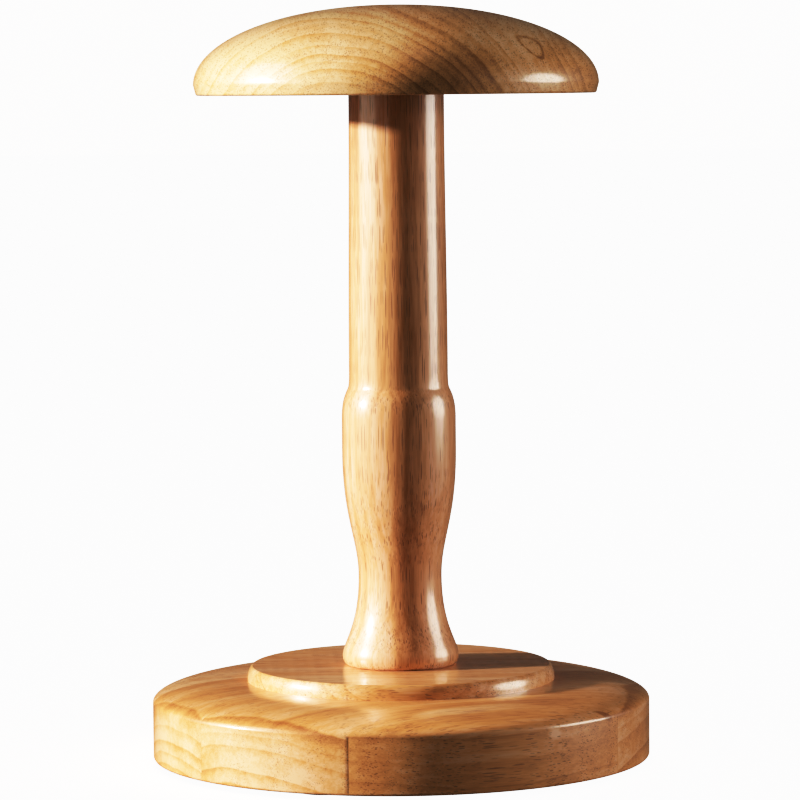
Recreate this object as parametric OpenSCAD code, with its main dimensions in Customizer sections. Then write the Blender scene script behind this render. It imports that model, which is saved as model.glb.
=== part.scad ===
// Wooden hat stand: a stepped round base, a turned post and a low domed head
// that fills the crown of a hat. The post is bolted up through the base, and
// the head is screwed down on a stud in the post's top.
// The origin is in the middle of the plane the stand rests on, +Z is up and
// -Y is the front.

/* [Base] */
// Diameter of the base
base_d = 220; // [180:1:280]
// Height of the straight part of the rim
rim_h = 25; // [20:0.5:35]
// Rise from the rim to the flat that the plinth sits on
crown_h = 9; // [4:0.5:12]
// Radius along the lower edge of the rim
base_edge = 1.3; // [0.5:0.1:3]
// Width of the board at each side of the edge-glued base
side_board_w = 19.5; // [12:0.5:25]
// Turn of the boards' length from left-right, seen from above
board_turn = 23; // [0:1:90]

/* [Plinth] */
// Diameter of the raised disc under the post
plinth_d = 136; // [110:1:150]
// Thickness of the raised disc
plinth_t = 6.4; // [5:0.1:12]
// How far its edge leans in at the top
plinth_lean = 2.2; // [1:0.1:4]
// Flat left around the disc before the base falls away
seat_margin = 1; // [0.5:0.5:5]

/* [Post] */
// Length of the post
post_l = 251.8; // [205:0.1:330]
// Diameter of the foot at its widest
foot_d = 51.4; // [46:0.1:62]
// Height of the foot's widest line
foot_h = 4.2; // [3:0.1:8]
// How far the foot is rounded in at its bottom
foot_round = 2.4; // [1:0.1:4]
// Diameter of the waist
waist_d = 36.8; // [30:0.1:43]
// Height of the waist above the foot
waist_h = 39.5; // [30:0.5:50]
// Diameter of the bulb
bulb_d = 50.4; // [44:0.1:60]
// Rise from the waist to the bulb's full width
bulb_rise = 55.5; // [45:0.5:70]
// Length of the bulb at its full width
bulb_full_l = 14; // [5:0.5:20]
// Rise over which the bulb rounds in to its shoulder line
shoulder_rise = 13.5; // [10:0.5:18]
// Diameter at the shoulder line above the bulb
shoulder_d = 45; // [40:0.1:50]
// Rise from the shoulder line to the straight neck
neck_rise = 7.5; // [4:0.5:10]
// Diameter of the neck just above the shoulder
neck_d = 43.7; // [34:0.1:48]
// Diameter at the top of the post
top_d = 42; // [32:0.1:46]

/* [Head] */
// Diameter of the head
head_d = 178; // [150:1:210]
// Height of the head
head_h = 39.2; // [34:0.1:60]
// Height of the head's widest line above its flat underside
head_side_h = 4.6; // [3:0.1:8]
// Radius along the lower edge of the head
head_edge = 1.2; // [0.5:0.1:2.5]
// Fullness of the head's shoulder: below 1 is fuller than an ellipse
head_full = 0.96; // [0.8:0.01:1]

/* [Fixings] */
// Thread diameter of the bolt and the stud
bolt_d = 8; // [6:0.5:10]
// How far the bolt reaches into the foot of the post
bolt_reach = 21.6; // [16:0.1:30]
// Diameter of the bolt's head
bolt_head_d = 13; // [12:0.5:15]
// Height of the bolt's head
bolt_head_h = 8; // [5:0.5:9]
// Width across the flats of the bolt's hex socket
bolt_key = 6; // [4:0.5:7]
// Pitch of the machine threads
thread_pitch = 1.25; // [1:0.25:1.5]
// Diameter of the washer under the bolt's head
washer_d = 24; // [20:0.5:27]
// Thickness of the washer
washer_t = 2; // [1.5:0.1:2.5]
// Room around the washer in its recess in the underside
recess_room = 2; // [0.5:0.5:4]
// How far the bolt's head is sunk above the underside
head_sink = 4; // [1:0.5:8]
// Outer diameter of the threaded inserts
insert_d = 13; // [12.5:0.1:15]
// Length of the insert in the foot of the post
foot_insert_l = 22; // [18:0.5:24]
// Length of the insert in the head
head_insert_l = 18; // [15:0.5:20]
// How far the inserts' flange stands out
insert_flange_w = 2; // [1:0.5:3]
// Thickness of the inserts' flange
insert_flange_t = 1.2; // [1:0.1:1.6]
// Pitch of the coarse threads that bite into wood
wood_pitch = 2.8; // [2.4:0.1:3.2]
// Length of the stud's wood thread, down into the post
stud_wood_l = 30; // [24:1:40]
// Length of the stud's machine thread, up into the head
stud_machine_l = 16; // [12:0.5:17]
// Room around a bolt that passes through wood
bolt_room = 0.5; // [0.3:0.1:1]
// Room around a thread or insert in its hole
thread_room = 0.05; // [0.02:0.01:0.1]
// Room left past the end of a bolt, stud or insert
end_room = 3; // [1:0.5:5]

/* [Pads] */
// Diameter of the non-slip pads
pad_d = 24; // [16:1:28]
// Thickness of the pads
pad_t = 2; // [1.5:0.1:4]
// Distance from the edge of a pad to the edge of the base
pad_inset = 10; // [6:1:14]

/* [Hidden] */
$fn = 96;

board_count = 5;
pad_count = 4;
curve_steps = 12;
// How far a cutting shape runs past what it cuts
cut = 1;

base_t = rim_h + crown_h;
base_r = base_d / 2;
seat_r = plinth_d / 2 + seat_margin;
base_z = pad_t;
plinth_z = base_z + base_t;
post_z = plinth_z + plinth_t;
head_z = post_z + post_l;
pad_ring_r = base_r - pad_inset - pad_d / 2;

// The boards' edges, from one side of the base to the other. The outer two
// run past the rim, which the turned blank then cuts off.
middle_board_w = (base_d - 2 * side_board_w) / (board_count - 2);
blank_half = base_r + cut;
board_edges = [
    -blank_half,
    for (i = [0 : board_count - 2]) (i - (board_count - 2) / 2) * middle_board_w,
    blank_half
];

// Post: heights above its foot
bulb_h = waist_h + bulb_rise;
bulb_top_h = bulb_h + bulb_full_l;
shoulder_h = bulb_top_h + shoulder_rise;
neck_h = shoulder_h + neck_rise;

// Fixings
recess_d = washer_d + 2 * recess_room;
recess_h = head_sink + bolt_head_h + washer_t;
bolt_z = base_z + head_sink + bolt_head_h;
bolt_l = post_z - bolt_z + bolt_reach;
bolt_key_h = 0.6 * bolt_head_h;
bolt_hole_r = bolt_d / 2 + bolt_room;
thread_hole_r = bolt_d / 2 + thread_room;
thread_depth = 0.6134 * thread_pitch;
insert_flange_d = insert_d + 2 * insert_flange_w;
wood_thread_depth = 1.1;
stud_tip_l = 5;
stud_collar = 0.2;
end_taper = 1;
head_chamfer = 0.8;

steel = "silver";
brass = "goldenrod";

// ---- curves ----

// Points of a cubic curve from a to d with handles b and c, without its start
function curve(a, b, c, d) = [
    for (i = [1 : curve_steps]) let (t = i / curve_steps, u = 1 - t)
        u * u * u * a + 3 * u * u * t * b + 3 * u * t * t * c + t * t * t * d
];

// Points of a quarter ellipse that leaves a upright and arrives at b level,
// without its start
function quarter(a, b) = [
    for (i = [1 : curve_steps]) let (t = 90 * i / curve_steps)
        [b[0] + (a[0] - b[0]) * cos(t), a[1] + (b[1] - a[1]) * sin(t)]
];

// Points of a small round from a, level, up to b, upright, without its start
function edge_round(a, b) = [
    for (i = [1 : curve_steps / 2]) let (t = 180 * i / curve_steps)
        [a[0] + (b[0] - a[0]) * sin(t), b[1] - (b[1] - a[1]) * cos(t)]
];

// Saw-tooth outline of a thread of length l that starts at height z
function thread_outline(r, depth, pitch, z, l) = let (turns = floor(l / pitch)) [
    for (i = [0 : turns - 1]) each [
        [r - depth, z + i * pitch],
        [r, z + (i + 0.5) * pitch]
    ],
    [r - depth, z + turns * pitch]
];

// ---- base ----

// The whole base as it is turned from the glued blank
module base_blank() {
    difference() {
        rotate_extrude() polygon(concat(
            [[0, 0], [base_r - base_edge, 0]],
            edge_round([base_r - base_edge, 0], [base_r, base_edge]),
            [[base_r, rim_h]],
            quarter([base_r, rim_h], [seat_r, base_t]),
            [[0, base_t]]
        ));
        translate([0, 0, -cut]) cylinder(r = bolt_hole_r, h = base_t + 2 * cut);
        translate([0, 0, -cut]) cylinder(d = recess_d, h = recess_h + cut);
    }
}

module base_board(i) {
    low = board_edges[i - 1];
    high = board_edges[i];
    color("burlywood") translate([0, 0, base_z]) rotate(board_turn) intersection() {
        rotate(-board_turn) base_blank();
        translate([-blank_half, low, -cut])
            cube([2 * blank_half, high - low, base_t + 2 * cut]);
    }
}

// ---- plinth ----

// Handles of the disc's edge, as shares of its thickness and of its lean
edge_upright = 0.45;
edge_turn_h = 0.85;
edge_turn_lean = 0.3;

module plinth_disc() {
    r = plinth_d / 2;
    color("burlywood") translate([0, 0, plinth_z]) difference() {
        rotate_extrude() polygon(concat(
            [[0, 0], [r, 0]],
            curve([r, 0], [r, plinth_t * edge_upright],
                [r - plinth_lean * edge_turn_lean, plinth_t * edge_turn_h],
                [r - plinth_lean, plinth_t]),
            [[0, plinth_t]]
        ));
        translate([0, 0, -cut]) cylinder(r = bolt_hole_r, h = plinth_t + 2 * cut);
    }
}

// ---- post ----

// How much of its span each end of a curve holds its direction
foot_hold = 0.16;
waist_hold_down = 0.64;
waist_hold_up = 0.29;
bulb_hold = 0.54;
bulb_top_hold = 0.5;
shoulder_hold = 0.25;
shoulder_fade = 0.15;
neck_hold = 0.33;
// Radius that the shoulder loses for each millimetre it rises
shoulder_slope = 0.5;

// Points of the curve between two upright ends, each holding its direction
function swell(a, b, hold_a, hold_b) = let (rise = b[1] - a[1])
    curve(a, a + [0, rise * hold_a], b - [0, rise * hold_b], b);

module post_outline() {
    foot = [foot_d / 2, foot_h];
    waist = [waist_d / 2, waist_h];
    bulb = [bulb_d / 2, bulb_h];
    bulb_top = [bulb_d / 2, bulb_top_h];
    shoulder = [shoulder_d / 2, shoulder_h];
    neck = [neck_d / 2, neck_h];
    top = [top_d / 2, post_l];
    polygon(concat(
        [[0, 0], [foot[0] - foot_round, 0]],
        edge_round([foot[0] - foot_round, 0], foot),
        swell(foot, waist, foot_hold, waist_hold_down),
        swell(waist, bulb, waist_hold_up, bulb_hold),
        curve(bulb_top, bulb_top + [0, shoulder_rise * bulb_top_hold],
            shoulder + shoulder_rise * shoulder_hold * [shoulder_slope, -1], shoulder),
        curve(shoulder, shoulder + neck_rise * shoulder_fade * [-shoulder_slope, 1],
            neck - [0, neck_rise / 2], neck),
        swell(neck, top, neck_hold, neck_hold),
        [[0, post_l]]
    ));
}

module post() {
    stud_hole_l = stud_wood_l + end_room;
    color("peru") translate([0, 0, post_z]) difference() {
        rotate_extrude() post_outline();
        insert_hole(foot_insert_l, bolt_reach);
        translate([0, 0, post_l - stud_hole_l]) cylinder(r = thread_hole_r, h = stud_hole_l + cut);
    }
}

// ---- head ----

// How far the head leans in under its widest line
head_under_lean = 0.9;
head_steps = 3 * curve_steps;

module head() {
    r = head_d / 2;
    under_r = r - head_under_lean;
    rise = head_h - head_side_h;
    color("burlywood") translate([0, 0, head_z]) difference() {
        rotate_extrude() polygon(concat(
            [[0, 0], [under_r - head_edge, 0]],
            edge_round([under_r - head_edge, 0], [under_r, head_edge]),
            [for (i = [0 : head_steps - 1]) let (t = 90 * i / head_steps)
                [r * pow(cos(t), head_full), head_side_h + rise * sin(t)]],
            [[0, head_h]]
        ));
        insert_hole(head_insert_l, stud_machine_l);
    }
}

// ---- fixings ----

// The hole for an insert and for the thread that reaches up into it
module insert_hole(l, reach) {
    translate([0, 0, -cut])
        cylinder(r = insert_d / 2 + thread_room, h = max(l, reach) + end_room + cut);
    translate([0, 0, -cut])
        cylinder(r = insert_flange_d / 2 + thread_room, h = insert_flange_t + cut);
}

// A threaded insert whose flange is flush with the wood at height 0
module insert(l) {
    r = insert_d / 2;
    thread_l = l - insert_flange_t - end_taper;
    color(brass) difference() {
        rotate_extrude() polygon(concat(
            [[0, 0], [insert_flange_d / 2, 0], [insert_flange_d / 2, insert_flange_t]],
            thread_outline(r, wood_thread_depth, wood_pitch, insert_flange_t, thread_l),
            [[r - wood_thread_depth, l], [0, l]]
        ));
        translate([0, 0, -cut]) cylinder(r = thread_hole_r, h = l + 2 * cut);
    }
}

module foot_insert() {
    translate([0, 0, post_z]) insert(foot_insert_l);
}

module head_insert() {
    translate([0, 0, head_z]) insert(head_insert_l);
}

// Outline of a machine thread from height z up to the tapered end at height top
function machine_thread(z, top) = let (r = bolt_d / 2) concat(
    thread_outline(r, thread_depth, thread_pitch, z, top - z - end_taper),
    [[r - thread_depth, top - end_taper / 2], [r - 1.5 * thread_depth, top], [0, top]]
);

module base_bolt() {
    r = bolt_d / 2;
    color(steel) translate([0, 0, bolt_z]) difference() {
        rotate_extrude() polygon(concat(
            [[0, -bolt_head_h], [bolt_head_d / 2 - head_chamfer, -bolt_head_h],
                [bolt_head_d / 2, head_chamfer - bolt_head_h], [bolt_head_d / 2, 0],
                [r, 0], [r, bolt_l - bolt_reach]],
            machine_thread(bolt_l - bolt_reach, bolt_l)
        ));
        translate([0, 0, -bolt_head_h - cut])
            cylinder(d = bolt_key / cos(30), h = bolt_key_h + cut, $fn = 6);
    }
}

module bolt_washer() {
    color(steel) translate([0, 0, bolt_z]) difference() {
        cylinder(d = washer_d, h = washer_t);
        translate([0, 0, -cut]) cylinder(r = bolt_hole_r, h = washer_t + 2 * cut);
    }
}

// A stud with a wood thread down in the post and a machine thread up in the head
module head_stud() {
    r = bolt_d / 2;
    wood_z = stud_tip_l - stud_wood_l;
    color(steel) translate([0, 0, head_z]) rotate_extrude() polygon(concat(
        [[0, -stud_wood_l], [r - wood_thread_depth, wood_z]],
        thread_outline(r, wood_thread_depth, wood_pitch, wood_z, -wood_z - end_taper),
        [[r, -stud_collar], [r, stud_collar]],
        machine_thread(stud_collar, stud_machine_l)
    ));
}

// ---- pads ----

module base_pad(i) {
    turn = board_turn + 360 / pad_count * (i - 0.5);
    color("dimgray") rotate(turn) translate([pad_ring_r, 0, 0]) cylinder(d = pad_d, h = pad_t);
}

base_board(1);  // base_board_1
base_board(2);  // base_board_2
base_board(3);  // base_board_3
base_board(4);  // base_board_4
base_board(5);  // base_board_5
plinth_disc();
post();
head();
foot_insert();
base_bolt();
bolt_washer();
head_stud();
head_insert();
base_pad(1);  // base_pad_1
base_pad(2);  // base_pad_2
base_pad(3);  // base_pad_3
base_pad(4);  // base_pad_4
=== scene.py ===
import math

import bpy
from mathutils import Euler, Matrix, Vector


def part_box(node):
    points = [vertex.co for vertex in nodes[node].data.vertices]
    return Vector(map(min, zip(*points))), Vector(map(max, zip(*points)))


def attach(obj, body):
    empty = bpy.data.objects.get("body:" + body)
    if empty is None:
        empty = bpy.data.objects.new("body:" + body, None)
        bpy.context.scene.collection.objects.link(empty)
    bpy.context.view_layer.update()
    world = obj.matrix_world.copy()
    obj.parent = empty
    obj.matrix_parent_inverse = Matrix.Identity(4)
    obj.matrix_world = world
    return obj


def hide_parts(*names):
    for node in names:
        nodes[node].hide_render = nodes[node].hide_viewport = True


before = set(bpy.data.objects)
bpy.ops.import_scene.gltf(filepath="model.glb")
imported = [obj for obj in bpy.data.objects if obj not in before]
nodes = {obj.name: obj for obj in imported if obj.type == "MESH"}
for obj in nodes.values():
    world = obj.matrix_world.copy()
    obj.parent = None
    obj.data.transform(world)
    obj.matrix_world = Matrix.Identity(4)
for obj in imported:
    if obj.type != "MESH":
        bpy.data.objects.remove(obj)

scene = bpy.context.scene
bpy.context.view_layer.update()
mm = 0.001
print("frame loaded:", len(nodes), "nodes")

camera = dict(side=0.0006, distance=1.7952, height=0.3008, tiltDown=0.0785, roll=-0.0084, lens=183.6,
              sensor=36, clipEnd=50)

cameraData = bpy.data.cameras.new("camera")
cameraData.lens = camera["lens"]
cameraData.sensor_width = camera["sensor"]
cameraData.clip_end = camera["clipEnd"]
cameraObject = bpy.data.objects.new("camera", cameraData)
scene.collection.objects.link(cameraObject)
cameraObject.location = (camera["side"], -camera["distance"], camera["height"])
aim = Euler((math.pi / 2 - camera["tiltDown"], 0, 0)).to_matrix() @ Euler((0, 0, camera["roll"])).to_matrix()
cameraObject.rotation_euler = aim.to_euler()
scene.camera = cameraObject
scene.view_settings.view_transform = "Standard"
scene.view_settings.look = "None"

# Film-like tones: deep shadows, and bright parts that fade towards cream
film = dict(points=((0.0455, 0.058), (0.2, 0.43), (0.4, 0.77), (0.6, 0.91), (0.85, 0.985)), white=2.2)
scene.view_settings.use_curve_mapping = True
tones = scene.view_settings.curve_mapping
tones.white_level = (film["white"],) * 3
for point in film["points"]:
    tones.curves[3].points.new(*point)
tones.update()
print("camera placed")


# Outlines are lists of (radius, height) in millimetres above the piece's own foot.
# A curve's points start after its first corner, so that curves can follow each other.
def curve(a, b, c, d, steps=16):
    points = []
    for i in range(1, steps + 1):
        t = i / steps
        u = 1 - t
        points.append(tuple(u ** 3 * a[k] + 3 * u * u * t * b[k] + 3 * u * t * t * c[k] + t ** 3 * d[k]
                            for k in (0, 1)))
    return points


# A curve that leaves a and reaches b upright; each hold says how far it stays so
def swell(a, b, holds, steps=16):
    rise = b[1] - a[1]
    return curve(a, (a[0], a[1] + rise * holds[0]), (b[0], b[1] - rise * holds[1]), b, steps)


def edgeRound(a, b, steps=8):
    points = []
    for i in range(1, steps + 1):
        t = math.pi / 2 * i / steps
        points.append((a[0] + (b[0] - a[0]) * math.sin(t), b[1] - (b[1] - a[1]) * math.cos(t)))
    return points


# A quarter of an oval from its side up to its top; a power under 1 makes it fuller
def quarter(a, b, power=1.0, steps=32):
    points = []
    for i in range(1, steps + 1):
        t = math.pi / 2 * i / steps
        lean = max(math.cos(t), 0) ** power if i < steps else 0
        points.append((b[0] + (a[0] - b[0]) * lean, a[1] + (b[1] - a[1]) * math.sin(t)))
    return points


def deselectAll():
    if bpy.context.object and bpy.context.object.mode != "OBJECT":
        bpy.ops.object.mode_set(mode="OBJECT")
    bpy.ops.object.select_all(action="DESELECT")


def selectOnly(piece):
    deselectAll()
    piece.select_set(True)
    bpy.context.view_layer.objects.active = piece


def copyPiece(pattern, name):
    piece = pattern.copy()
    piece.data = pattern.data.copy()
    piece.name = name
    piece.data.name = name
    scene.collection.objects.link(piece)
    return piece


# Draws half of the outline from a point and spins it round the Z axis
def turnOnLathe(name, outline, foot, facets):
    deselectAll()
    bpy.ops.mesh.primitive_plane_add(size=mm)
    piece = bpy.context.object
    piece.name = name
    piece.data.name = name
    bpy.ops.object.mode_set(mode="EDIT")
    bpy.ops.mesh.select_all(action="SELECT")
    bpy.ops.mesh.merge(type="CENTER")
    start = outline[0]
    bpy.ops.transform.translate(value=(start[0] * mm, 0, foot + start[1] * mm))
    for here, there in zip(outline, outline[1:]):
        step = ((there[0] - here[0]) * mm, 0, (there[1] - here[1]) * mm)
        bpy.ops.mesh.extrude_region_move(TRANSFORM_OT_translate={"value": step})
    bpy.ops.mesh.select_all(action="SELECT")
    bpy.ops.mesh.spin(steps=facets, angle=2 * math.pi, center=(0, 0, 0), axis=(0, 0, 1))
    bpy.ops.mesh.select_all(action="SELECT")
    bpy.ops.mesh.remove_doubles(threshold=0.01 * mm)
    bpy.ops.mesh.normals_make_consistent(inside=False)
    bpy.ops.object.mode_set(mode="OBJECT")
    return piece


def finishPiece(piece, replaced, material, smoothAngle=35):
    selectOnly(piece)
    bpy.ops.object.shade_smooth_by_angle(angle=math.radians(smoothAngle))
    piece.data.materials.clear()
    piece.data.materials.append(material)
    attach(piece, "root")
    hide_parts(replaced)
    deselectAll()


def addNode(tree, kind, inputs=None, **settings):
    node = tree.nodes.new(kind)
    for name, value in settings.items():
        setattr(node, name, value)
    for name, value in (inputs or {}).items():
        if isinstance(value, bpy.types.NodeSocket):
            tree.links.new(value, node.inputs[name])
        else:
            node.inputs[name].default_value = value
    return node


def reckon(tree, operation, a, b=0.0, c=0.0):
    return addNode(tree, "ShaderNodeMath", {0: a, 1: b, 2: c}, operation=operation).outputs[0]


def combine(tree, operation, a, b):
    return addNode(tree, "ShaderNodeVectorMath", {0: a, 1: b}, operation=operation).outputs[0]


def stretch(tree, vector, along, across):
    return combine(tree, "MULTIPLY", vector, (along, across, across))


def gapTo(tree, value, place):
    return reckon(tree, "ABSOLUTE", reckon(tree, "SUBTRACT", value, place))


def partsOf(tree, vector):
    return addNode(tree, "ShaderNodeSeparateXYZ", {"Vector": vector}).outputs


def blendRange(tree, value, low, high, start=0.0, end=1.0):
    node = addNode(tree, "ShaderNodeMapRange", {"Value": value, "From Min": low, "From Max": high,
                   "To Min": start, "To Max": end}, interpolation_type="SMOOTHSTEP")
    return node.outputs[0]


def noiseOf(tree, vector, detail=2.0, roughness=0.5, output="Fac"):
    node = addNode(tree, "ShaderNodeTexNoise", {"Vector": vector, "Scale": 1.0, "Detail": detail,
                   "Roughness": roughness})
    return node.outputs[output]


def mixColour(tree, factor, a, b):
    node = addNode(tree, "ShaderNodeMix", data_type="RGBA")
    for socket, value in ((0, factor), (6, a), (7, b)):
        if isinstance(value, bpy.types.NodeSocket):
            tree.links.new(value, node.inputs[socket])
        else:
            node.inputs[socket].default_value = value
    return node.outputs[2]


# A new material with its tree, its shader and the object's own coordinates
def startMaterial(name):
    material = bpy.data.materials.new(name)
    material.use_nodes = True
    tree = material.node_tree
    objectPlace = addNode(tree, "ShaderNodeTexCoord").outputs["Object"]
    return material, tree, tree.nodes["Principled BSDF"], objectPlace


def bumpFrom(tree, shader, height, strength, depth):
    bump = addNode(tree, "ShaderNodeBump", {"Height": height, "Strength": strength, "Distance": depth * mm})
    tree.links.new(bump.outputs["Normal"], shader.inputs["Normal"])


# Scales are in waves a metre, first along the fibres and then across them. A bend
# also has its share of the wobble, and a kind of pore its width and its depth.
woodGrain = dict(bends=((5, 18, 1.0), (14, 90, 0.16), (30, 420, 0.04)), bendDetail=1.5,
                 ringDrift=0.31, ringUneven=2.4, ringEnd=0.9, faintRing=0.3,
                 cloud=(7, 70), cloudDetail=3.0, cloudRange=(0.3, 0.7),
                 fineFibre=(60, 1500), coarseFibre=(30, 420), fibreRough=0.6, fibreRange=(0.7, 1.3),
                 pores=((110, 1650, 0.62, 1.0), (210, 2500, 0.6, 0.8)), poreChance=(0.5, 1.05),
                 poreEdge=(-0.02, 0.08), fibreHeight=0.2)


# The figure of a piece of wood in its own coordinates: X runs along the fibres,
# and the heart of the tree is the X axis
def makeWoodFigure():
    group = bpy.data.node_groups.new("woodFigure", "ShaderNodeTree")
    face = group.interface
    face.new_socket("Vector", in_out="INPUT", socket_type="NodeSocketVector")
    for name, start in (("Ring Width", 0.005), ("Wobble", 0.006), ("Ring Sharpness", 3.0),
                        ("Pore Amount", 0.8), ("Pore Length", 1.0)):
        face.new_socket(name, in_out="INPUT", socket_type="NodeSocketFloat").default_value = start
    for name in ("Rings", "Clouds", "Fibres", "Pores", "Height", "Radius"):
        face.new_socket(name, in_out="OUTPUT", socket_type="NodeSocketFloat")
    source = group.nodes.new("NodeGroupInput").outputs
    result = group.nodes.new("NodeGroupOutput").inputs
    place = source["Vector"]

    # The fibres wander, in wide slow bends with small ones on them
    bent = place
    for along, across, share in woodGrain["bends"]:
        shift = noiseOf(group, stretch(group, place, along, across), woodGrain["bendDetail"], output="Color")
        shift = combine(group, "SUBTRACT", shift, (0.5, 0.5, 0.5))
        scaled = addNode(group, "ShaderNodeVectorMath", {0: shift, "Scale": reckon(
            group, "MULTIPLY", source["Wobble"], share)}, operation="SCALE").outputs[0]
        bent = combine(group, "ADD", bent, scaled)

    # Each yearly ring darkens slowly outwards and ends in a thin line
    flat = combine(group, "MULTIPLY", bent, (0, 1, 1))
    radius = addNode(group, "ShaderNodeVectorMath", {0: flat}, operation="LENGTH").outputs["Value"]
    group.links.new(radius, result["Radius"])
    count = reckon(group, "DIVIDE", radius, source["Ring Width"])
    drift = reckon(group, "MULTIPLY", count, woodGrain["ringDrift"])
    uneven = addNode(group, "ShaderNodeTexNoise", {"W": drift, "Scale": 1.0, "Detail": 1.0},
                     noise_dimensions="1D").outputs["Fac"]
    count = reckon(group, "MULTIPLY_ADD", uneven, woodGrain["ringUneven"], count)
    part = reckon(group, "FRACT", count)
    strength = addNode(group, "ShaderNodeTexWhiteNoise", {"W": reckon(group, "FLOOR", count)},
                       noise_dimensions="1D").outputs["Value"]
    late = reckon(group, "POWER", part, source["Ring Sharpness"])
    late = reckon(group, "MULTIPLY", late, blendRange(group, part, woodGrain["ringEnd"], 1.0, 1.0, 0.0))
    strength = blendRange(group, strength, 0, 1, woodGrain["faintRing"], 1.0)
    group.links.new(reckon(group, "MULTIPLY", late, strength), result["Rings"])

    # Broad pale and dark clouds, long along the fibres
    clouds = noiseOf(group, stretch(group, bent, *woodGrain["cloud"]), woodGrain["cloudDetail"])
    group.links.new(blendRange(group, clouds, *woodGrain["cloudRange"]), result["Clouds"])

    # Fine fibres
    fine, coarse = [noiseOf(group, stretch(group, place, *woodGrain[kind]), 2.0, woodGrain["fibreRough"])
                    for kind in ("fineFibre", "coarseFibre")]
    fibres = blendRange(group, reckon(group, "ADD", fine, coarse), *woodGrain["fibreRange"])
    group.links.new(fibres, result["Fibres"])

    # Open pores: long thin cells in two sizes
    shorten = addNode(group, "ShaderNodeCombineXYZ", {"X": reckon(
        group, "DIVIDE", 1.0, source["Pore Length"]), "Y": 1.0, "Z": 1.0}).outputs[0]
    pores = None
    for along, across, widest, depth in woodGrain["pores"]:
        cells = combine(group, "MULTIPLY", stretch(group, place, along, across), shorten)
        cell = addNode(group, "ShaderNodeTexVoronoi", {"Vector": cells, "Scale": 1.0})
        chance = addNode(group, "ShaderNodeSeparateColor", {"Color": cell.outputs["Color"]}).outputs[0]
        reach = blendRange(group, chance, *woodGrain["poreChance"], 0.0, widest)
        reach = reckon(group, "MULTIPLY", reach, source["Pore Amount"])
        inside = reckon(group, "SUBTRACT", reach, cell.outputs["Distance"])
        hole = reckon(group, "MULTIPLY", blendRange(group, inside, *woodGrain["poreEdge"]), depth)
        pores = hole if pores is None else reckon(group, "MAXIMUM", pores, hole)
    group.links.new(pores, result["Pores"])
    sunk = reckon(group, "MULTIPLY", pores, -1.0)
    group.links.new(reckon(group, "MULTIPLY_ADD", fibres, woodGrain["fibreHeight"], sunk), result["Height"])
    return group


woodFigure = makeWoodFigure()

# What the woods share unless a piece says otherwise. Heart is where the middle of the
# tree runs, in millimetres, and turn is how its X axis is turned, in degrees. Rings,
# clouds and fibres say how much each darkens the wood, and shade darkens all of it.
woodBasics = dict(heart=(0, 0, 0), turn=(0, 0, 0), ringWidth=5.0, wobble=8.0, sharpness=3.0,
                  poreAmount=0.8, poreLength=1.0, rings=0.7, clouds=0.35, fibres=0.25, shade=0.0,
                  pale=(0.87, 0.53, 0.31), mid=(0.69, 0.32, 0.11), deep=(0.38, 0.14, 0.036),
                  poreTone=(0.18, 0.06, 0.018), poreDepth=0.6, roughness=0.46, poreRoughness=0.2,
                  bump=0.12, bumpDepth=0.1, gloss=0.17, coat=1.0, coatIor=1.5)


# Detail adds a piece's own marks to the tone, which runs from pale at 0 to deep at 1
def makeWood(name, look, detail=None):
    look = dict(woodBasics, **look)
    material, tree, shader, objectPlace = startMaterial(name)
    place = addNode(tree, "ShaderNodeMapping", {
        "Vector": objectPlace, "Location": [value * mm for value in look["heart"]],
        "Rotation": [math.radians(value) for value in look["turn"]]}, vector_type="TEXTURE").outputs[0]
    figure = tree.nodes.new("ShaderNodeGroup")
    figure.node_tree = woodFigure
    tree.links.new(place, figure.inputs["Vector"])
    for socket, value in (("Ring Width", look["ringWidth"] * mm), ("Wobble", look["wobble"] * mm),
                          ("Ring Sharpness", look["sharpness"]), ("Pore Amount", look["poreAmount"]),
                          ("Pore Length", look["poreLength"])):
        figure.inputs[socket].default_value = value
    out = figure.outputs
    tone = look["shade"]
    for part in ("Rings", "Clouds", "Fibres"):
        tone = reckon(tree, "MULTIPLY_ADD", out[part], look[part.lower()], tone)
    if detail:
        tone = reckon(tree, "ADD", tone, detail(tree, objectPlace, out))
    shades = addNode(tree, "ShaderNodeValToRGB", {"Fac": tone})
    stops = shades.color_ramp.elements
    stops[0].position = 0.05
    stops[0].color = (*look["pale"], 1)
    stops[1].position = 1.0
    stops[1].color = (*look["deep"], 1)
    stops.new(0.5).color = (*look["mid"], 1)
    poreFactor = reckon(tree, "MULTIPLY", out["Pores"], look["poreDepth"])
    colour = mixColour(tree, poreFactor, shades.outputs["Color"], (*look["poreTone"], 1))
    tree.links.new(colour, shader.inputs["Base Color"])
    rough = reckon(tree, "MULTIPLY_ADD", out["Pores"], look["poreRoughness"], look["roughness"])
    tree.links.new(rough, shader.inputs["Roughness"])
    bumpFrom(tree, shader, out["Height"], look["bump"], look["bumpDepth"])
    shader.inputs["Coat Weight"].default_value = look["coat"]
    shader.inputs["Coat Roughness"].default_value = look["gloss"]
    shader.inputs["Coat IOR"].default_value = look["coatIor"]
    return material


# How far a place is from a point on the object, counted in the spot's own sizes
def spotDistance(tree, objectPlace, centre, sizes, turn=(0, 0, 0)):
    near = addNode(tree, "ShaderNodeMapping", {
        "Vector": objectPlace, "Location": [value * mm for value in centre],
        "Rotation": [math.radians(value) for value in turn],
        "Scale": [value * mm for value in sizes]}, vector_type="TEXTURE").outputs[0]
    return addNode(tree, "ShaderNodeVectorMath", {0: near}, operation="LENGTH").outputs["Value"]


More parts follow.
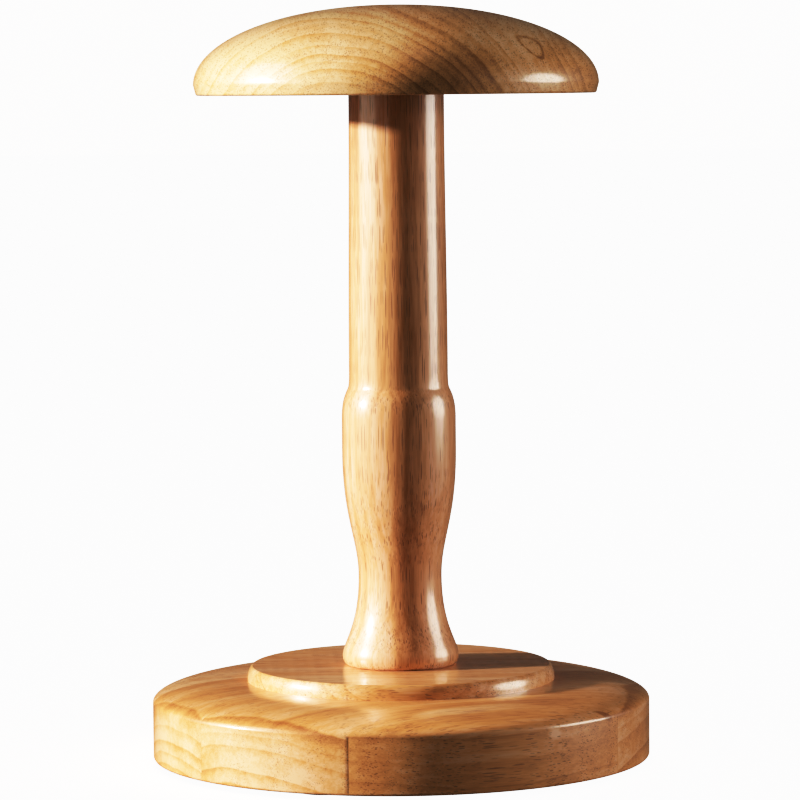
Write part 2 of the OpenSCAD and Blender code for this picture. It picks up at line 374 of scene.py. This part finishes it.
# Adds soft spots to a tone. Each has its centre and sizes in millimetres and its depth.
def addSpots(tree, objectPlace, tone, spots, turn, inner, outer):
    for centre, sizes, depth in spots:
        away = spotDistance(tree, objectPlace, centre, sizes, turn)
        tone = reckon(tree, "MULTIPLY_ADD", blendRange(tree, away, inner, outer, 1.0, 0.0), depth, tone)
    return tone


base = dict(radius=110, edge=1.3, rimHeight=25, height=34, seatRadius=69, boardTurn=23,
            boardEdges=(-90.5, -30.1667, 30.1667, 90.5), boltHole=4.5, recess=14, recessHeight=14,
            facets=256, glueLine=(0.05, 0.3), glueDepth=0.1, markEdge=(0.3, 1.1))

baseOutline = [(base["recess"], base["recessHeight"]), (base["recess"], 0),
               (base["radius"] - base["edge"], 0)]
baseOutline += edgeRound(baseOutline[-1], (base["radius"], base["edge"]))
baseOutline.append((base["radius"], base["rimHeight"]))
baseOutline += quarter(baseOutline[-1], (base["seatRadius"], base["height"]))
baseOutline += [(base["boltHole"], base["height"]), (base["boltHole"], base["recessHeight"]),
                (base["recess"], base["recessHeight"])]
baseBlank = turnOnLathe("baseBlank", baseOutline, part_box("base_board_3")[0].z, base["facets"])
print("base turned")

boardTurn = math.radians(base["boardTurn"])
acrossBoards = (-math.sin(boardTurn), math.cos(boardTurn), 0)


# Cuts one side of a piece away and closes the cut
def sawOff(piece, edge, keepHigh):
    selectOnly(piece)
    bpy.ops.object.mode_set(mode="EDIT")
    bpy.ops.mesh.select_all(action="SELECT")
    spot = [value * edge * mm for value in acrossBoards]
    bpy.ops.mesh.bisect(plane_co=spot, plane_no=acrossBoards, use_fill=True,
                        clear_inner=keepHigh, clear_outer=not keepHigh)
    bpy.ops.object.mode_set(mode="OBJECT")


# A thin glue line where two boards meet, and the board's own marks
def glueLines(edges, marks):
    def detail(tree, objectPlace, out):
        along = addNode(tree, "ShaderNodeVectorMath", {0: objectPlace, 1: acrossBoards},
                        operation="DOT_PRODUCT").outputs["Value"]
        thin, wide = [value * mm for value in base["glueLine"]]
        lines = None
        for edge in edges:
            line = blendRange(tree, gapTo(tree, along, edge * mm), thin, wide, base["glueDepth"], 0.0)
            lines = line if lines is None else reckon(tree, "MAXIMUM", lines, line)
        return addSpots(tree, objectPlace, lines, marks, (0, 0, base["boardTurn"]), *base["markEdge"])
    return detail


# Board 1 is the front one. Its marks are dark gum streaks by the seam and a small pale
# knot on the rim. Boards 2 and 3 have browner tops, and a paler rim at the left that is
# partly sapwood and partly painted light where the main light falls.
boards = {
    1: dict(heart=(0, -95, -60), ringWidth=7, wobble=9, rings=0.35, clouds=0.3, shade=0.2,
            poreAmount=0.8, poreLength=1.8),
    2: dict(heart=(20, -52, -62), ringWidth=7.5, wobble=10, sharpness=2, rings=0.6, clouds=0.28,
            shade=0.12, poreAmount=0.65, poreLength=1.3),
    3: dict(heart=(-6, -8, -70), ringWidth=6, wobble=9, sharpness=2, rings=0.5, clouds=0.3,
            shade=0.16, poreAmount=0.65, poreLength=1.3),
    4: dict(heart=(0, 60, 90), ringWidth=5, wobble=10, rings=0.45, clouds=0.35, shade=0.0),
    5: dict(heart=(0, 110, -40), ringWidth=6, wobble=10, rings=0.45, clouds=0.35, shade=0.08),
}
boardMarks = {
    1: (((88, -65, 29.5), (8, 1.6, 4), 0.9), ((96, -57, 29), (5, 0.8, 4), 0.7),
        ((65, -89, 25), (4.2, 5, 3.6), -0.45)),
    # The last spot of boards 2 and 3 pales the left rim: partly sapwood, partly painted light
    2: (((-72, -50, 36), (34, 5, 9), 0.25), ((-20, -80, 32), (50, 3, 5), 0.2),
        ((30, -60, 33), (40, 2, 5), 0.14), ((-55, -90, 11), (62, 40, 17), -0.34)),
    3: (((-82, -30, 35), (40, 6, 8), 0.2), ((86, 20, 34), (30, 4, 8), 0.2),
        ((-98, -45, 13), (50, 45, 19), -0.3)),
}
for number, look in boards.items():
    board = copyPiece(baseBlank, f"baseBoard{number}")
    edges = base["boardEdges"]
    touching = []
    if number > 1:
        sawOff(board, edges[number - 2], True)
        touching.append(edges[number - 2])
    if number <= len(edges):
        sawOff(board, edges[number - 1], False)
        touching.append(edges[number - 1])
    look = dict(look, turn=(0, 0, base["boardTurn"]))
    wood = makeWood(f"baseBoardWood{number}", look, glueLines(touching, boardMarks.get(number, ())))
    finishPiece(board, f"base_board_{number}", wood)
bpy.data.objects.remove(baseBlank)
print("base boards sawn")

# The edge starts upright, and bends over to its lean between the two bend points
plinth = dict(radius=68, height=6.4, lean=2.2, boltHole=4.5, lowBend=0.45, highBend=(0.3, 0.85), facets=256)
plinthWood = dict(heart=(0, 30, -40), turn=(0, 0, 3), ringWidth=4, wobble=7, rings=0.4, clouds=0.3,
                  fibres=0.3, shade=0.0)

plinthOutline = [(plinth["boltHole"], 0), (plinth["radius"], 0)]
plinthOutline += curve(plinthOutline[-1], (plinth["radius"], plinth["height"] * plinth["lowBend"]),
                       (plinth["radius"] - plinth["lean"] * plinth["highBend"][0],
                        plinth["height"] * plinth["highBend"][1]),
                       (plinth["radius"] - plinth["lean"], plinth["height"]))
plinthOutline += [(plinth["boltHole"], plinth["height"]), (plinth["boltHole"], 0)]
plinthDisc = turnOnLathe("plinthDisc", plinthOutline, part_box("plinth_disc")[0].z, plinth["facets"])
finishPiece(plinthDisc, "plinth_disc", makeWood("plinthWood", plinthWood))
print("plinth turned")

# Holds and pulls shape the curves between the named points of the post
post = dict(length=251.8, footRadius=25.7, footHeight=4.2, footRound=2.4, waist=(18.4, 39.5),
            bulb=(25.2, 95), bulbTop=(25.2, 109), shoulder=(22.5, 122.5), neck=(21.85, 130),
            topRadius=21, insertHole=(6.55, 25), flangeHole=(8.55, 1.2), studHole=(4.05, 33), facets=192,
            waistHolds=(0.16, 0.64), bulbHolds=(0.29, 0.54), neckHolds=(0.33, 0.33), bulbPull=6.75,
            shoulderPullDown=(1.6875, 3.375), shoulderPullUp=(0.5625, 1.125), neckPull=3.75)
postWood = dict(heart=(-26, 34, 0), turn=(0, -90, 0), ringWidth=6, wobble=9, rings=0.3, clouds=0.32,
                fibres=0.3, shade=0.08, poreAmount=0.82, poreLength=1.6,
                pale=(0.88, 0.56, 0.38), mid=(0.73, 0.36, 0.165), deep=(0.42, 0.165, 0.05), poreDepth=0.6)

# The dark band's left edge, its fading right edge and its back edge, in millimetres
darkFrontBand = dict(left=(-3, 3), right=(7, 18), rightKept=0.3, back=(-6, 4), depth=0.44,
                 sway=6, swayScale=(60, 60, 14))


# A darker band down the front of the post, from its middle towards the right
def postBand(tree, objectPlace, out):
    parts = partsOf(tree, objectPlace)
    left, right, back = [[value * mm for value in darkFrontBand[edge]] for edge in ("left", "right", "back")]
    sway = noiseOf(tree, combine(tree, "MULTIPLY", objectPlace, darkFrontBand["swayScale"]))
    side = reckon(tree, "MULTIPLY_ADD", sway, darkFrontBand["sway"] * mm, parts[0])
    band = reckon(tree, "MULTIPLY", blendRange(tree, side, *left),
                  blendRange(tree, side, *right, 1.0, darkFrontBand["rightKept"]))
    return reckon(tree, "MULTIPLY", band, blendRange(tree, parts[1], *back, darkFrontBand["depth"], 0.0))


# A hole for an insert, from its blind end out to its flange
def insertHole(hole, flange):
    return [(0, hole[1]), (hole[0], hole[1]), (hole[0], flange[1]), (flange[0], flange[1]), (flange[0], 0)]


def pulled(point, outwards, upwards):
    return point[0] + outwards, point[1] + upwards


foot = (post["footRadius"], post["footHeight"])
pullDown, pullUp = post["shoulderPullDown"], post["shoulderPullUp"]
postOutline = insertHole(post["insertHole"], post["flangeHole"])
postOutline.append((foot[0] - post["footRound"], 0))
postOutline += edgeRound(postOutline[-1], foot)
postOutline += swell(foot, post["waist"], post["waistHolds"], 24)
postOutline += swell(post["waist"], post["bulb"], post["bulbHolds"], 24)
postOutline += curve(post["bulbTop"], pulled(post["bulbTop"], 0, post["bulbPull"]),
                     pulled(post["shoulder"], pullDown[0], -pullDown[1]), post["shoulder"])
postOutline += curve(post["shoulder"], pulled(post["shoulder"], -pullUp[0], pullUp[1]),
                     pulled(post["neck"], 0, -post["neckPull"]), post["neck"], 10)
postOutline += swell(post["neck"], (post["topRadius"], post["length"]), post["neckHolds"])
studFloor = post["length"] - post["studHole"][1]
postOutline += [(post["studHole"][0], post["length"]), (post["studHole"][0], studFloor), (0, studFloor)]
turnedPost = turnOnLathe("turnedPost", postOutline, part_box("post")[0].z, post["facets"])
finishPiece(turnedPost, "post", makeWood("postWood", postWood, postBand))
print("post turned")

head = dict(radius=89, height=39.2, sideHeight=4.6, edge=1.2, full=0.96, lean=0.9,
            insertHole=(6.55, 21), flangeHole=(8.55, 1.2), facets=256)
headWood = dict(heart=(-24, 0, 259), turn=(2, 0, 90), ringWidth=3.6, wobble=8, sharpness=1.8,
                rings=0.42, clouds=0.18, fibres=0.22, shade=-0.02, poreAmount=1.0, poreLength=0.8,
                poreDepth=0.45, pale=(0.90, 0.59, 0.32), mid=(0.70, 0.35, 0.12), deep=(0.30, 0.115, 0.028))

underRadius = head["radius"] - head["lean"]
headOutline = insertHole(head["insertHole"], head["flangeHole"])
headOutline.append((underRadius - head["edge"], 0))
headOutline += edgeRound(headOutline[-1], (underRadius, head["edge"]))
headOutline.append((head["radius"], head["sideHeight"]))
headOutline += quarter(headOutline[-1], (0, head["height"]), head["full"], 56)

# Brown arcs by their radius from the heart, half width and depth, fading to the left;
# darker spots across the right of the dome, partly heart wood and partly painted shade;
# and a paler left side
headFigure = dict(arcs=((76, 2.4, 0.3), (71, 1.5, 0.22), (81, 1.2, 0.12), (64, 1.0, 0.12)),
                  arcFade=(-60, 10), arcKept=0.25, stainEdge=(0.1, 1.25), paleSide=(-70, 10), paleDepth=-0.13,
                  stains=(((16, -70, 300), (37, 60, 18), 0.66), ((26, -40, 330), (30, 70, 14), 0.34),
                          ((74, -30, 302), (34, 60, 18), 0.3)))

# The small knot is a thin brown loop, wandering a little
headKnot = dict(centre=(57, -54, 315), sizes=(9, 15, 5), turn=(0, 35, 0), loop=1.15, line=0.16,
                depth=0.5, wander=0.9, wanderScale=90)


def headDetail(tree, objectPlace, out):
    tone = None
    for middle, half, depth in headFigure["arcs"]:
        band = blendRange(tree, gapTo(tree, out["Radius"], middle * mm), 0.0, half * mm, depth, 0.0)
        tone = band if tone is None else reckon(tree, "ADD", tone, band)
    side = partsOf(tree, objectPlace)[0]
    fade, pale = [[value * mm for value in headFigure[edge]] for edge in ("arcFade", "paleSide")]
    tone = reckon(tree, "MULTIPLY", tone, blendRange(tree, side, *fade, headFigure["arcKept"], 1.0))
    # These spots paint darker heart wood and, in part, painted shade on the dome's shaded right
    tone = addSpots(tree, objectPlace, tone, headFigure["stains"], (0, 0, 0), *headFigure["stainEdge"])
    away = spotDistance(tree, objectPlace, headKnot["centre"], headKnot["sizes"], headKnot["turn"])
    uneven = noiseOf(tree, stretch(tree, objectPlace, headKnot["wanderScale"], headKnot["wanderScale"]), 0.0)
    away = reckon(tree, "MULTIPLY_ADD", uneven, headKnot["wander"], away)
    edge = gapTo(tree, away, headKnot["loop"])
    tone = reckon(tree, "ADD", tone, blendRange(tree, edge, 0.0, headKnot["line"], headKnot["depth"], 0.0))
    return reckon(tree, "ADD", tone, blendRange(tree, side, *pale, headFigure["paleDepth"], 0.0))


domedHead = turnOnLathe("domedHead", headOutline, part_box("head")[0].z, head["facets"])
finishPiece(domedHead, "head", makeWood("headWood", headWood, headDetail))
print("head turned")

metalWear = dict(turningMarks=(400, 400, 3000), stainScale=(160, 160, 160), stainRange=(0.35, 0.7),
                 stained=0.72, markRoughness=0.2, bump=0.15, bumpDepth=0.05)


# Fine turning marks and a little dulling, on steel and brass
def makeMetal(name, colour, rough):
    material, tree, shader, place = startMaterial(name)
    marks = noiseOf(tree, combine(tree, "MULTIPLY", place, metalWear["turningMarks"]))
    stains = noiseOf(tree, combine(tree, "MULTIPLY", place, metalWear["stainScale"]), 3.0)
    darker = [value * metalWear["stained"] for value in colour]
    stained = blendRange(tree, stains, *metalWear["stainRange"])
    tree.links.new(mixColour(tree, stained, (*colour, 1), (*darker, 1)), shader.inputs["Base Color"])
    tree.links.new(reckon(tree, "MULTIPLY_ADD", marks, metalWear["markRoughness"], rough),
                   shader.inputs["Roughness"])
    bumpFrom(tree, shader, marks, metalWear["bump"], metalWear["bumpDepth"])
    shader.inputs["Metallic"].default_value = 1.0
    return material


zincSteel = makeMetal("zincSteel", (0.62, 0.63, 0.64), 0.28)
insertBrass = makeMetal("insertBrass", (0.78, 0.58, 0.27), 0.25)
for name, metal in (("foot_insert", insertBrass), ("head_insert", insertBrass), ("head_stud", zincSteel)):
    nodes[name].data.materials.clear()
    nodes[name].data.materials.append(metal)

# The thread's root and crest are given in shares of its pitch; its last turn tapers
bolt = dict(headRadius=6.5, headHeight=8, headEdge=0.2, radius=4, chamfer=0.8, keyAcross=6, keyDepth=4.8,
            keyTurn=2, reach=21.6, pitch=1.25, threadDepth=0.767, root=0.45, crest=0.9, plainEnd=1,
            lastRoot=0.5, tipDepth=1.5, facets=60, smoothAngle=30)

boltFoot, boltTop = [corner.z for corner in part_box("base_bolt")]
boltLength = (boltTop - boltFoot) / mm
rootRadius = bolt["radius"] - bolt["threadDepth"]
boltOutline = [(0, 0), (bolt["headRadius"] - bolt["chamfer"], 0), (bolt["headRadius"], bolt["chamfer"]),
               (bolt["headRadius"], bolt["headHeight"] - bolt["headEdge"]),
               (bolt["headRadius"] - bolt["headEdge"], bolt["headHeight"]),
               (bolt["radius"], bolt["headHeight"])]
threadHeight = boltLength - bolt["reach"]
boltOutline.append((bolt["radius"], threadHeight))
while threadHeight + bolt["pitch"] < boltLength - bolt["plainEnd"]:
    boltOutline.append((rootRadius, threadHeight + bolt["pitch"] * bolt["root"]))
    boltOutline.append((bolt["radius"], threadHeight + bolt["pitch"] * bolt["crest"]))
    threadHeight += bolt["pitch"]
boltOutline += [(rootRadius, boltLength - bolt["lastRoot"]),
                (bolt["radius"] - bolt["tipDepth"] * bolt["threadDepth"], boltLength), (0, boltLength)]
baseBolt = turnOnLathe("baseBolt", boltOutline, boltFoot, bolt["facets"])

# The hex socket is sunk by taking a six-sided bar out of the head. The bar is turned a
# little, so that its corners don't fall on the bolt's own edges.
deselectAll()
bpy.ops.mesh.primitive_cylinder_add(vertices=6, radius=bolt["keyAcross"] / math.sqrt(3) * mm,
                                    depth=bolt["keyDepth"] * 2 * mm, location=(0, 0, boltFoot),
                                    rotation=(0, 0, math.radians(bolt["keyTurn"])))
keyBar = bpy.context.object
selectOnly(baseBolt)
socketCut = baseBolt.modifiers.new("socketCut", "BOOLEAN")
socketCut.operation = "DIFFERENCE"
socketCut.object = keyBar
bpy.ops.object.modifier_apply(modifier="socketCut")
bpy.data.objects.remove(keyBar)
bpy.ops.object.mode_set(mode="EDIT")
bpy.ops.mesh.select_all(action="SELECT")
bpy.ops.mesh.remove_doubles(threshold=0.01 * mm)
bpy.ops.mesh.dissolve_degenerate(threshold=0.005 * mm)
bpy.ops.object.mode_set(mode="OBJECT")
finishPiece(baseBolt, "base_bolt", zincSteel, bolt["smoothAngle"])

washer = dict(hole=4.5, radius=12, thickness=2, edge=0.3, facets=96)
washerOutline = [(washer["hole"], 0), (washer["radius"] - washer["edge"], 0)]
washerOutline += edgeRound(washerOutline[-1], (washer["radius"], washer["edge"]), 4)
washerOutline += [(washer["radius"], washer["thickness"] - washer["edge"]),
                  (washer["radius"] - washer["edge"], washer["thickness"]),
                  (washer["hole"], washer["thickness"]), (washer["hole"], 0)]
boltWasher = turnOnLathe("boltWasher", washerOutline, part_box("bolt_washer")[0].z, washer["facets"])
finishPiece(boltWasher, "bolt_washer", zincSteel)
print("bolt and washer made")

# The dish is the shallow hollow in the pad's underside, from its floor to its lip
pad = dict(radius=12, thickness=2, edge=0.5, dish=0.25, dishFloor=0.55, dishLip=0.62, facets=72)
rubber = dict(tone=(0.035, 0.034, 0.033), gritScale=(2200, 2200, 2200), dustScale=(90, 90, 90),
              dustRange=(0.4, 0.75), dustMost=0.6, roughness=0.55, gritRoughness=0.25,
              bump=0.4, bumpDepth=0.1)


def makeRubber():
    material, tree, shader, place = startMaterial("padRubber")
    grit = noiseOf(tree, combine(tree, "MULTIPLY", place, rubber["gritScale"]))
    dust = noiseOf(tree, combine(tree, "MULTIPLY", place, rubber["dustScale"]), 4.0)
    dusty = [value * 2.4 + 0.01 for value in rubber["tone"]]
    cover = blendRange(tree, dust, *rubber["dustRange"], 0.0, rubber["dustMost"])
    tree.links.new(mixColour(tree, cover, (*rubber["tone"], 1), (*dusty, 1)), shader.inputs["Base Color"])
    tree.links.new(reckon(tree, "MULTIPLY_ADD", grit, rubber["gritRoughness"], rubber["roughness"]),
                   shader.inputs["Roughness"])
    bumpFrom(tree, shader, grit, rubber["bump"], rubber["bumpDepth"])
    return material


padRubber = makeRubber()
padOutline = [(0, pad["dish"]), (pad["radius"] * pad["dishFloor"], pad["dish"]),
              (pad["radius"] * pad["dishLip"], 0), (pad["radius"] - pad["edge"], 0)]
padOutline += edgeRound(padOutline[-1], (pad["radius"], pad["edge"]), 6)
padOutline += [(pad["radius"], pad["thickness"]), (0, pad["thickness"])]
padPattern = turnOnLathe("padPattern", padOutline, 0, pad["facets"])
for number in range(1, 5):
    low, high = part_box(f"base_pad_{number}")
    basePad = copyPiece(padPattern, f"basePad{number}")
    selectOnly(basePad)
    basePad.location = ((low.x + high.x) / 2, (low.y + high.y) / 2, low.z)
    bpy.ops.object.transform_apply(location=True, rotation=False, scale=False)
    finishPiece(basePad, f"base_pad_{number}", padRubber)
bpy.data.objects.remove(padPattern)
print("pads made")

# The floor lies just under the pads. It and the sky glow only to the camera, as a
# white studio does; fill is how much of the sky really lights the stand.
studio = dict(floorSize=30, floorDrop=0.1, floorTone=0.8, floorRoughness=0.9, floorGlow=1.7,
              skyTone=(1, 0.99, 0.98), skyGlow=1.75, fill=0.05, lightDistance=2.2, aimHeight=0.17)


def makeFloor():
    deselectAll()
    bpy.ops.mesh.primitive_plane_add(size=studio["floorSize"], location=(0, 0, -studio["floorDrop"] * mm))
    floor = bpy.context.object
    floor.name = "studioFloor"
    material = bpy.data.materials.new("floorWhite")
    material.use_nodes = True
    tree = material.node_tree
    shader = tree.nodes["Principled BSDF"]
    shader.inputs["Base Color"].default_value = (*(studio["floorTone"],) * 3, 1)
    shader.inputs["Roughness"].default_value = studio["floorRoughness"]
    shader.inputs["Specular IOR Level"].default_value = 0.0
    shader.inputs["Emission Color"].default_value = (1, 1, 1, 1)
    seen = addNode(tree, "ShaderNodeLightPath").outputs["Is Camera Ray"]
    tree.links.new(reckon(tree, "MULTIPLY", seen, studio["floorGlow"]), shader.inputs["Emission Strength"])
    floor.data.materials.append(material)
    return floor


studioFloor = makeFloor()

# Each light's bearing from the right, its height and its width, all in degrees
lights = {
    "keyLight": dict(bearing=189, height=14, width=3.5, power=112, colour=(1.0, 0.95, 0.87), onFloor=False),
    "softLeft": dict(bearing=183, height=34, width=32, power=20, colour=(1.0, 0.96, 0.9), onFloor=False),
    "lowLeft": dict(bearing=196, height=1, width=45, power=15, colour=(1.0, 0.86, 0.68), onFloor=False),
    "softRight": dict(bearing=1, height=8, width=32, power=35, colour=(1.0, 0.95, 0.87), onFloor=False),
    "softTop": dict(bearing=200, height=75, width=50, power=3, colour=(1.0, 0.97, 0.93), onFloor=True),
}


# A round light at the studio's distance, aimed at the middle of the stand
def addLight(name, bearing, height, width, power, colour, onFloor):
    distance = studio["lightDistance"]
    data = bpy.data.lights.new(name, "AREA")
    data.shape = "DISK"
    data.size = 2 * distance * math.tan(math.radians(width / 2))
    data.energy = power
    data.color = colour
    light = bpy.data.objects.new(name, data)
    scene.collection.objects.link(light)
    bearing, height = math.radians(bearing), math.radians(height)
    light.location = (distance * math.cos(height) * math.cos(bearing),
                      distance * math.cos(height) * math.sin(bearing),
                      studio["aimHeight"] + distance * math.sin(height))
    light.rotation_euler = (math.pi / 2 - height, 0, bearing + math.pi / 2)
    if not onFloor:
        skipped = bpy.data.collections.new(name + "Skips")
        skipped.objects.link(studioFloor)
        light.light_linking.receiver_collection = skipped
        skipped.collection_objects[0].light_linking.link_state = "EXCLUDE"


for name, values in lights.items():
    addLight(name, **values)

world = bpy.data.worlds.new("studio")
scene.world = world
world.use_nodes = True
worldTree = world.node_tree
worldTree.nodes.clear()
seen = addNode(worldTree, "ShaderNodeLightPath").outputs["Is Camera Ray"]
glow = addNode(worldTree, "ShaderNodeBackground", {"Color": (*studio["skyTone"], 1), "Strength": reckon(
    worldTree, "MULTIPLY_ADD", seen, studio["skyGlow"], studio["fill"])})
addNode(worldTree, "ShaderNodeOutputWorld", {"Surface": glow.outputs[0]})
print("lights placed")
